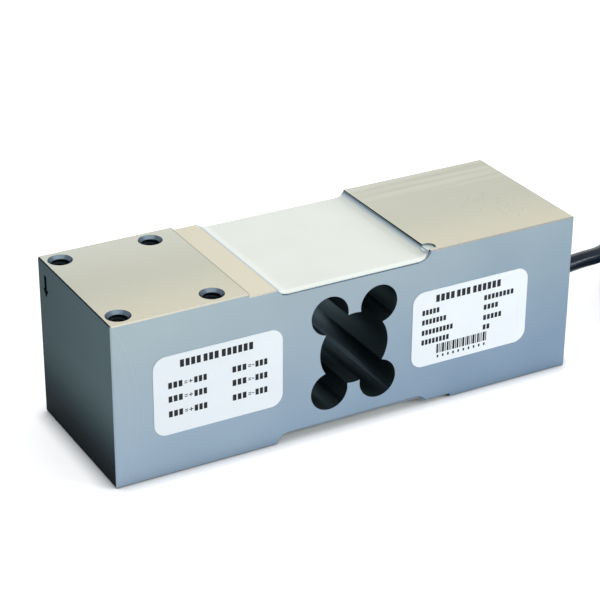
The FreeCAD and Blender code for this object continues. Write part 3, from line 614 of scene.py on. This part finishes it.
finishes = {
    "machined_aluminium": aluminium,
    "potting": potting,
    "label_film": label_film,
    "cable_sheath": sheath,
    "gauge_foil": striped("constantan_grid_on_polyimide", "#a8742c", "#c9b48a", 0.35, 0.2, 0.4),
    "resistor_foil": striped("nickel_foil_on_polyimide", "#9a7434", "#b9b2a0", 0.5, 0.2, 0.4, "X"),
    "strip_laminate": two_tone("glass_epoxy_green", "#2c5a33", "#3b6f40", 0.4, 0, 0.45),
    "bare_copper": two_tone("tinned_copper_wire", "#b9a283", "#d8cdb8", 0.2, 1, 0.3),
    "ribbon_insulation": striped("grey_ribbon_cable", "#8d8f90", "#b4b6b7", 1.27, 0, 0.5),
    "board_laminate": two_tone("solder_masked_board", "#1f5a37", "#2b7048", 0.6, 0, 0.35),
    "chip_ceramic": two_tone("alumina_chip", "#2a2a2c", "#45464a", 0.3, 0, 0.5),
    "braid": striped("tinned_copper_braid", "#8b8780", "#c9c5bb", 0.6, 0.9, 0.4),
    "potting_resin": two_tone("amber_resin", "#8c7a4f", "#a8966a", 1.2, 0, 0.3),
    "bush_rubber": two_tone("black_nitrile", "#131416", "#222326", 0.5, 0, 0.6, 0.2),
    "washer_steel": two_tone("zinc_plated_steel", "#9a9d9c", "#b9bcba", 0.4, 1, 0.35),
    "nickelled_brass": two_tone("nickelled_brass", "#b9b6ab", "#d0cdc2", 0.5, 1, 0.28, 0.05),
    "tie_nylon": two_tone("black_nylon", "#151618", "#26282b", 0.3, 0, 0.45),
    "core_green": two_tone("green_pvc_core", "#1d6b35", "#2c8448", 0.3, 0, 0.4),
    "core_red": two_tone("red_pvc_core", "#a81f1f", "#c43530", 0.3, 0, 0.4),
    "core_blue": two_tone("blue_pvc_core", "#1f3f94", "#3356b0", 0.3, 0, 0.4),
    "core_black": two_tone("black_pvc_core", "#141517", "#242629", 0.3, 0, 0.4),
    "core_white": two_tone("white_pvc_core", "#dcdcd8", "#f0f0ec", 0.3, 0, 0.4),
    "core_brown": two_tone("brown_pvc_core", "#5a3520", "#754a2f", 0.3, 0, 0.4),
}
print(len(finishes), "finishes")

# %% [markdown]
# The record lists which CAD nodes belong to each material slot, so the
# finishes are handed out in one loop.

# %% Put the finishes on the CAD nodes
painted = 0
for entry in frame["record"]["subparts"]:
    body = nodes[entry["node"]].data
    body.materials.clear()
    body.materials.append(finishes[entry["material_slot"]])
    painted += 1
print(painted, "CAD nodes have a finish")

# %% [markdown]
# ## The dressed cable
# The sheath stands for two CAD nodes: the run from the gland to the coil,
# and the coil. Where it leaves the gland it is straight. Two nylon ties hold
# the coil, and the stripped end shows six cores and the shield's wire.

# %% The sheath
dress(cable, sheath, ["cable", "cable_coil"])
print("sheath dressed")

# %% [markdown]
# A cable tie is a flat strap pulled tight round the bundle. A cube of the
# bundle's size loses the two faces that the cable passes through. Its four
# corners are then bevelled, and Solidify gives the strap its thickness. The
# head is a small block with softened edges, and the tail is cut short.

# %% One cable tie
STRAP_WIDTH = 3 * MM
STRAP_THICKNESS = 0.6 * MM
STRAP_INNER, STRAP_OUTER, STRAP_TOP = 25.85 * MM, 47.95 * MM, 29.0 * MM
HEAD_RADIUS = 36.9 * MM


def edit_mesh(piece):
    """Enters edit mode on the piece and returns its bmesh."""
    clear_selection()
    piece.select_set(True)
    bpy.context.view_layer.objects.active = piece
    bpy.ops.object.mode_set(mode="EDIT")
    bpy.ops.mesh.select_all(action="DESELECT")
    return bmesh.from_edit_mesh(piece.data)


def apply_modifier(piece, kind, **settings):
    """Adds a modifier, sets it and applies it."""
    clear_selection()
    piece.select_set(True)
    bpy.context.view_layer.objects.active = piece
    modifier = piece.modifiers.new(kind.lower(), kind)
    for setting, value in settings.items():
        setattr(modifier, setting, value)
    bpy.ops.object.modifier_apply(modifier=modifier.name)


bpy.ops.mesh.primitive_cube_add(
    size=1,
    location=((STRAP_INNER + STRAP_OUTER) / 2, 0, STRAP_TOP / 2),
    scale=(STRAP_OUTER - STRAP_INNER, STRAP_WIDTH, STRAP_TOP),
)
strap = settle(bpy.context.object, "tie_strap")
mesh = edit_mesh(strap)
for face in mesh.faces:
    face.select_set(abs(face.normal.y) > 0.9)
bpy.ops.mesh.delete(type="ONLY_FACE")
mesh = bmesh.from_edit_mesh(strap.data)
for edge in mesh.edges:
    edge.select_set(abs(edge.verts[0].co.y - edge.verts[1].co.y) > STRAP_WIDTH / 2)
bpy.ops.mesh.bevel(offset=3 * MM, segments=5, affect="EDGES")
bpy.ops.object.mode_set(mode="OBJECT")
apply_modifier(strap, "SOLIDIFY", thickness=STRAP_THICKNESS, offset=-1)
apply_modifier(strap, "BEVEL", width=0.15 * MM, segments=2)

clear_selection()
bpy.ops.mesh.primitive_cube_add(
    size=1, location=(HEAD_RADIUS, 0, STRAP_TOP + 1.3 * MM), scale=(4.4 * MM, 4 * MM, 3.2 * MM),
)
head = settle(bpy.context.object, "tie_head")
mesh = edit_mesh(head)
for face in mesh.faces:
    face.select_set(face.normal.x > 0.9)
bpy.ops.mesh.inset(thickness=0.7 * MM)
bpy.ops.mesh.extrude_region_move(TRANSFORM_OT_translate={"value": (5 * MM, 0, 0.3 * MM)})
bpy.ops.mesh.extrude_region_move(TRANSFORM_OT_translate={"value": (3 * MM, 0, 0.6 * MM)})
bpy.ops.object.mode_set(mode="OBJECT")
apply_modifier(head, "BEVEL", width=0.25 * MM, segments=2)
clear_selection()
strap.select_set(True)
head.select_set(True)
bpy.context.view_layer.objects.active = strap
bpy.ops.object.join()
print("tie has", len(strap.data.polygons), "faces")


# %% Two ties on the coil
def copy_of(piece, name, matrix):
    """A copy with a mesh of its own, moved by the matrix inside that mesh."""
    copy = piece.copy()
    copy.data = piece.data.copy()
    copy.data.transform(matrix)
    copy.name = name
    bpy.context.scene.collection.objects.link(copy)
    return copy


for name, angle in (("tie_back", 30), ("tie_front", 210)):
    spin = Matrix.Translation(COIL_CENTRE) @ Matrix.Rotation(math.radians(angle), 4, "Z")
    tie = copy_of(strap, name, spin)
    dress(tie, finishes["tie_nylon"], ["coil_" + name])
bpy.data.objects.remove(strap)
print("two ties")

# %% [markdown]
# The stripped end: each core is a smooth curve that bows out of the sheath
# and comes to rest on the bench, with a few millimetres of bare strands.
# The table gives each core its column and its row in the cable.

# %% Stripped cores
HEADING = math.radians(-4.5)
AHEAD = Vector((math.cos(HEADING), math.sin(HEADING), 0))
ASIDE = Vector((-math.sin(HEADING), math.cos(HEADING), 0))
SHEATH_END = Vector(tail[-1]) * MM
CORES = {
    "green": (0, 0), "red": (1, 0), "blue": (2, 0),
    "black": (0, 1), "white": (1, 1), "brown": (2, 1),
}
CORE_DIAMETER = 0.9 * MM
BARE_DIAMETER = 0.55 * MM
DRAIN_DIAMETER = 0.6 * MM
CORE_PITCH = 1.3         # between columns inside the sheath, in millimetres like what follows
ROW_OFFSET = 0.87        # each row above or below the sheath's middle
SHEATH_HEIGHT = 4.15     # of the sheath's middle over the bench
LEAD_SPREAD = 5          # between the columns' ends on the bench
ROW_SHIFT = 0.25         # of the spread: one row's ends lie to one side, the other's to the other


def beyond_end(ahead, aside, height):
    """A point past the sheath's end, in mm: ahead of it, to its left, over the bench."""
    point = SHEATH_END + AHEAD * ahead * MM + ASIDE * aside * MM
    point.z = height * MM
    return point


end_pieces = []
for colour, (column, row) in CORES.items():
    up_or_down = 1 - 2 * row
    start = (column - 1) * CORE_PITCH
    finish = (column - 1 + ROW_SHIFT * up_or_down) * LEAD_SPREAD
    lift = SHEATH_HEIGHT + ROW_OFFSET * up_or_down
    path = [
        beyond_end(-0.5, start, lift),
        beyond_end(4, start * 1.3, lift - 0.3),
        beyond_end(8, start + (finish - start) * 0.5, 1.4),
        beyond_end(10.5, start + (finish - start) * 0.85, 0.5),
        beyond_end(12.5, finish, 0.5),
    ]
    core = smooth_cord("end_core_" + colour, path, CORE_DIAMETER, sides=3)
    dress(core, finishes["core_" + colour], ["end_lead_" + colour])
    bare = [
        beyond_end(ahead, finish, height)
        for ahead, height in ((12.3, 0.5), (14, 0.45), (16, 0.4))
    ]
    tip = smooth_cord("end_tip_" + colour, bare, BARE_DIAMETER, sides=2)
    dress(tip, finishes["bare_copper"])
    end_pieces += [core, tip]

path = [
    beyond_end(-0.5, 0.65, SHEATH_HEIGHT),
    beyond_end(4, 0.5, 3.7),
    beyond_end(7, 0.2, 1.0),
    beyond_end(12, 0, 0.35),
]
drain = smooth_cord("end_shield_wire", path, DRAIN_DIAMETER, sides=3)
dress(drain, finishes["braid"], ["end_drain"])
end_pieces.append(drain)
print(len(end_pieces), "pieces at the stripped end")

# %% [markdown]
# ## Threads
# The four holes in the top left pad and the four under the right one are
# tapped M8. CAD leaves them as plain bores. A thread is a small triangle
# carried round and up at once, which is what the Screw modifier does. The
# triangle starts as a three-sided circle stood on edge at the bore's wall.
# One thread is modelled and copied into the eight holes.

# %% One thread
THREAD_PITCH = 1.25 * MM
BORE_RADIUS = 3.4 * MM
CREST_RADIUS = 3.0 * MM
THREAD_TURNS = 13

clear_selection()
bpy.ops.mesh.primitive_circle_add(
    vertices=3, radius=THREAD_PITCH / 2,
    location=(BORE_RADIUS, 0, 0), rotation=(math.pi / 2, 0, 0),
)
thread = settle(bpy.context.object, "thread")
mesh = edit_mesh(thread)
corners = sorted(mesh.verts, key=lambda vert: vert.co.z)
corners[0].co = (BORE_RADIUS - 0.01 * MM, 0, -0.5 * THREAD_PITCH)
corners[1].co = (CREST_RADIUS, 0, 0)
corners[2].co = (BORE_RADIUS - 0.01 * MM, 0, 0.5 * THREAD_PITCH)
bpy.ops.object.mode_set(mode="OBJECT")
apply_modifier(
    thread, "SCREW",
    screw_offset=THREAD_PITCH, iterations=THREAD_TURNS,
    steps=24, render_steps=24, use_smooth_shade=False,
)
mesh = edit_mesh(thread)
bpy.ops.mesh.select_all(action="SELECT")
bpy.ops.mesh.remove_doubles(threshold=0.001 * MM)
bpy.ops.mesh.select_all(action="DESELECT")
bpy.ops.mesh.select_non_manifold()
bpy.ops.mesh.edge_face_add()
bpy.ops.mesh.select_all(action="SELECT")
bpy.ops.mesh.normals_make_consistent(inside=False)
bpy.ops.object.mode_set(mode="OBJECT")
thread_low = min(vert.co.z for vert in thread.data.vertices)
thread_high = max(vert.co.z for vert in thread.data.vertices)
thread_length = round((thread_high - thread_low) / MM, 2)
print("thread", len(thread.data.polygons), "faces,", thread_length, "mm long")

# %% Threads in all eight holes
block_low, block_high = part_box("sensing_beam")
top = frame["record"]["mounts"][0]
half_x = top["dims"]["spacing_x_mm"] * MM / 2
half_y = top["dims"]["spacing_y_mm"] * MM / 2
HOLE_LEAD_IN = 1.3 * MM

count = 0
ends = (
    (-1, block_high.z - HOLE_LEAD_IN - thread_high),
    (1, block_low.z + HOLE_LEAD_IN - thread_low),
)
for end, drop in ends:
    for along in (-1, 1):
        for across in (-1, 1):
            hole = Vector((-end * top["pos_m"][0] + along * half_x, across * half_y, drop))
            count += 1
            copy = copy_of(thread, f"thread_{count}", Matrix.Translation(hole))
            dress(copy, aluminium)
bpy.data.objects.remove(thread)
print(count, "threads")

# %% [markdown]
# ## Print on the labels
# Each label has a bold line at the top. The wiring label has three rows of
# two short entries, and the rating label has four rows with a value each
# and a bar pattern below. Words are drawn as rows of small upright blocks.
# Marks such as plus, minus and equals are bars.
#
# A mark is its left edge, its lower edge, its width and its height, in
# millimetres from the label's centre. All marks of a label are thin boxes
# in one mesh.

# %% Rows of blocks
def word(left, base, height, pitch, letters):
    """Upright blocks that stand for letters."""
    return [(left + k * pitch, base, pitch * 0.72, height) for k in range(letters)]


def equals(left, base, height, width):
    """Two short bars."""
    return [(left, base + height * share, width, height * 0.12) for share in (0.58, 0.3)]


def minus(left, base, height, width):
    """One short bar."""
    return [(left, base + height * 0.43, width, height * 0.13)]


def plus(left, base, height, width):
    """A cross of three bars that don't overlap."""
    arm = height * 0.13
    side = (width - arm) / 2
    return [
        (left + side, base + height * 0.2, arm, height * 0.6),
        (left, base + height * 0.5 - arm / 2, side, arm),
        (left + side + arm, base + height * 0.5 - arm / 2, side, arm),
    ]


print("four kinds of mark")

# %% [markdown]
# Operators in edit mode add to the mesh that is being edited, so a cube
# added there joins the others. Only the edges that run through the ink are
# bevelled, which rounds each mark as it is seen from the front.

# %% Ink on a label
INK_DEPTH = 0.03 * MM


def print_on(label, name, marks):
    """All marks of one label as a thin piece of ink on its face."""
    low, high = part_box(label)
    middle = (low + high) / 2
    clear_selection()
    piece = None
    for left, base, width, height in marks:
        bpy.ops.mesh.primitive_cube_add(
            size=1,
            location=(
                middle.x + (left + width / 2) * MM,
                low.y - INK_DEPTH / 2,
                middle.z + (base + height / 2) * MM,
            ),
            scale=(width * MM, INK_DEPTH, height * MM),
        )
        if piece is None:
            piece = settle(bpy.context.object, name)
            bpy.ops.object.mode_set(mode="EDIT")
    mesh = bmesh.from_edit_mesh(piece.data)
    for edge in mesh.edges:
        edge.select_set(abs(edge.verts[0].co.y - edge.verts[1].co.y) > INK_DEPTH / 2)
    bpy.ops.mesh.bevel(offset=0.07 * MM, segments=2, affect="EDGES")
    bpy.ops.object.mode_set(mode="OBJECT")
    dress(piece, ink)


TITLE_HEIGHT, TITLE_PITCH = 2.9, 2.15


# %% Wiring label
marks = []
for left, letters in ((-15.0, 4), (-5.9, 3), (1.2, 6)):
    marks += word(left, 10.1, TITLE_HEIGHT, TITLE_PITCH, letters)
ROW_HEIGHT = 2.4
for base in (2.6, -2.8, -8.7):
    marks += word(-19.7, base, ROW_HEIGHT, 2.0, 3) + equals(-13.5, base, ROW_HEIGHT, 1.2)
    marks += plus(-11.8, base, ROW_HEIGHT, 1.5) + word(-9.7, base, ROW_HEIGHT, 1.8, 3)
    marks += word(5.3, base, ROW_HEIGHT, 2.0, 3) + equals(11.5, base, ROW_HEIGHT, 1.2)
    marks += minus(13.0, base, ROW_HEIGHT, 0.9) + word(14.4, base, ROW_HEIGHT, 1.75, 3)
print_on("wiring_label", "wiring_print", marks)
print("wiring label has", len(marks), "marks")

# %% [markdown]
# The bar pattern is made by a rule: the bar and gap widths repeat from two
# short lists of different lengths, so that no code can be read from it.

# %% Rating label
marks = []
for left, letters in ((-15.4, 4), (-6.3, 3), (0.8, 6)):
    marks += word(left, 10.2, TITLE_HEIGHT, TITLE_PITCH, letters)
for base, left_letters, right_letters in ((5.8, 5, 8), (1.8, 7, 4), (-2.5, 9, 5), (-6.5, 8, 2)):
    marks += word(-21.2, base, 2.1, 1.55, left_letters)
    marks += word(6.0, base, 2.1, 1.7, right_letters)

BAR_WIDTHS = (0.75, 0.3, 0.3, 0.9, 0.35)
GAP_WIDTHS = (0.35, 0.5, 0.3)
PATTERN_LEFT, PATTERN_RIGHT = -14.5, 7.4
at, bar = PATTERN_LEFT, 0
while at < PATTERN_RIGHT:
    width = BAR_WIDTHS[bar % len(BAR_WIDTHS)]
    marks.append((at, -11.3, width, 3.8))
    at += width + GAP_WIDTHS[bar % len(GAP_WIDTHS)]
    bar += 1
for tick in range(10):
    marks.append((-14.2 + tick * 2.3, -13.2, 0.7, 1.1))
print_on("rating_label", "rating_print", marks)
print("rating label has", len(marks), "marks")

# %% [markdown]
# ## Load arrow
# A small dark arrow on the left end shows which way the load acts. Its head
# is a three-sided circle whose corners are put in place and extruded to the
# thickness of paint. Its shaft is a thin cube in the same mesh. The paint is
# dead matt enamel, so it has no mirror part at all.

# %% Arrow enamel
enamel, paint = begin_finish("matt_black_enamel", Roughness=0.8, Specular_IOR_Level=0)
tint = blend(enamel, noise(enamel, millimetres(enamel), 2, 2), "#060809", "#15191b")
join(enamel, tint, paint, "Base Color")

# %% The arrow
ARROW_Y = 25.2 * MM
ARROW_TIP, ARROW_NECK, ARROW_TOP = 49.8 * MM, 53.0 * MM, 58.4 * MM
HEAD_WIDTH, SHAFT_WIDTH = 4.6 * MM, 2.0 * MM
PAINT_DEPTH = 0.02 * MM

clear_selection()
bpy.ops.mesh.primitive_circle_add(
    vertices=3, radius=HEAD_WIDTH / 2, fill_type="NGON",
    location=(block_low.x, ARROW_Y, ARROW_NECK), rotation=(math.pi / 2, 0, math.pi / 2),
)
arrow = settle(bpy.context.object, "load_arrow")
mesh = edit_mesh(arrow)
head_corners = sorted(mesh.verts, key=lambda vert: vert.co.y)
places = (
    (ARROW_Y - HEAD_WIDTH / 2, ARROW_NECK),
    (ARROW_Y, ARROW_TIP),
    (ARROW_Y + HEAD_WIDTH / 2, ARROW_NECK),
)
for corner, (y, z) in zip(head_corners, places):
    corner.co = (block_low.x, y, z)
bpy.ops.mesh.select_all(action="SELECT")
bpy.ops.mesh.extrude_region_move(TRANSFORM_OT_translate={"value": (-PAINT_DEPTH, 0, 0)})
bpy.ops.mesh.primitive_cube_add(
    size=1, location=(block_low.x - PAINT_DEPTH / 2, ARROW_Y, (ARROW_NECK + ARROW_TOP) / 2),
    scale=(PAINT_DEPTH, SHAFT_WIDTH, ARROW_TOP - ARROW_NECK),
)
bpy.ops.mesh.select_all(action="SELECT")
bpy.ops.mesh.normals_make_consistent(inside=False)
bpy.ops.object.mode_set(mode="OBJECT")
dress(arrow, enamel)
print("arrow has", len(arrow.data.polygons), "faces")

# %% [markdown]
# ## Floor and light
# The studio is one pale floor that reaches far past the view. Camera rays,
# reflections and refractions see it a step brighter than it is lit, so it
# turns white. That lift fades within 7 mm of whatever stands on the floor,
# which paints a dark line of contact shade under the block. Bounced light
# sees only the floor's own grey.

# %% Floor
CONTACT_REACH = 0.007     # metres from whatever stands on the floor
WHITE_LIFT = 0.56         # added to the lit grey, so that it reaches white

clear_selection()
bpy.ops.mesh.primitive_plane_add(size=8, location=(0, 0, -0.0002))
floor = settle(bpy.context.object, "studio_floor")
paper, card = begin_finish(
    "pale_studio_paper",
    Base_Color=linear("#e8e8e8"), Roughness=0.9, Specular_IOR_Level=0, Emission_Color=(1, 1, 1, 1),
)
seen = add(paper, "ShaderNodeLightPath", {}).outputs
either = calculate(paper, "MAXIMUM", seen["Is Camera Ray"], seen["Is Glossy Ray"])
any_seen = calculate(paper, "MAXIMUM", either, seen["Is Transmission Ray"])
# Painted contact shade: the white lift falls away close to the block.
open_sky = add(paper, "ShaderNodeAmbientOcclusion", {"Distance": CONTACT_REACH}, samples=8)
clear_of_block = ramp(paper, open_sky.outputs["AO"], 0.45, 1, 0, WHITE_LIFT)
lift = calculate(paper, "MULTIPLY", any_seen, clear_of_block)
join(paper, lift, card, "Emission Strength")
floor.data.materials.append(paper)
print("floor made")

# %% [markdown]
# A wide soft lamp overhead makes the short soft shadow under the block. A
# warm panel behind it lies in the pads' mirror direction and lights them. A
# cool key panel at the front right lights the labelled side and leaves the
# left end in shade. A narrow strip beside it draws the thin highlight along
# the cable. The sky is a cool grey.

# %% Lamps and sky
def panel(name, place, aim, size, watts, colour):
    """An area lamp, its width and height given, that looks at a point."""
    clear_selection()
    bpy.ops.object.light_add(type="AREA", location=place)
    lamp = bpy.context.object
    lamp.name = name
    lamp.rotation_euler = (Vector(aim) - Vector(place)).to_track_quat("-Z", "Y").to_euler()
    lamp.data.shape = "RECTANGLE"
    lamp.data.size, lamp.data.size_y = size
    lamp.data.energy = watts
    lamp.data.color = linear(colour)[:3]


panel("overhead_panel", (0.1, -0.1, 1.3), (0, 0, 0), (1.6, 1.6), 7, "#fffdf8")
panel("back_panel", (0.85, 1.35, 0.85), (0, 0, 0.05), (1.2, 1.2), 4.5, "#fff9ee")
panel("key_panel", (1.0, -0.95, 0.38), (0, 0, 0.03), (0.5, 0.5), 11.2, "#f9fbff")
panel("cable_strip", (1.25, -0.9, 0.36), (0.1, 0, 0.03), (0.9, 0.06), 3, "#e8f1ff")

world = bpy.context.scene.world or bpy.data.worlds.new("studio_sky")
bpy.context.scene.world = world
world.use_nodes = True
sky = world.node_tree.nodes["Background"]
sky.inputs["Color"].default_value = linear("#dfe6ee")
sky.inputs["Strength"].default_value = 0.6
bpy.context.scene.view_settings.view_transform = "Standard"
print("four lamps and a grey sky")
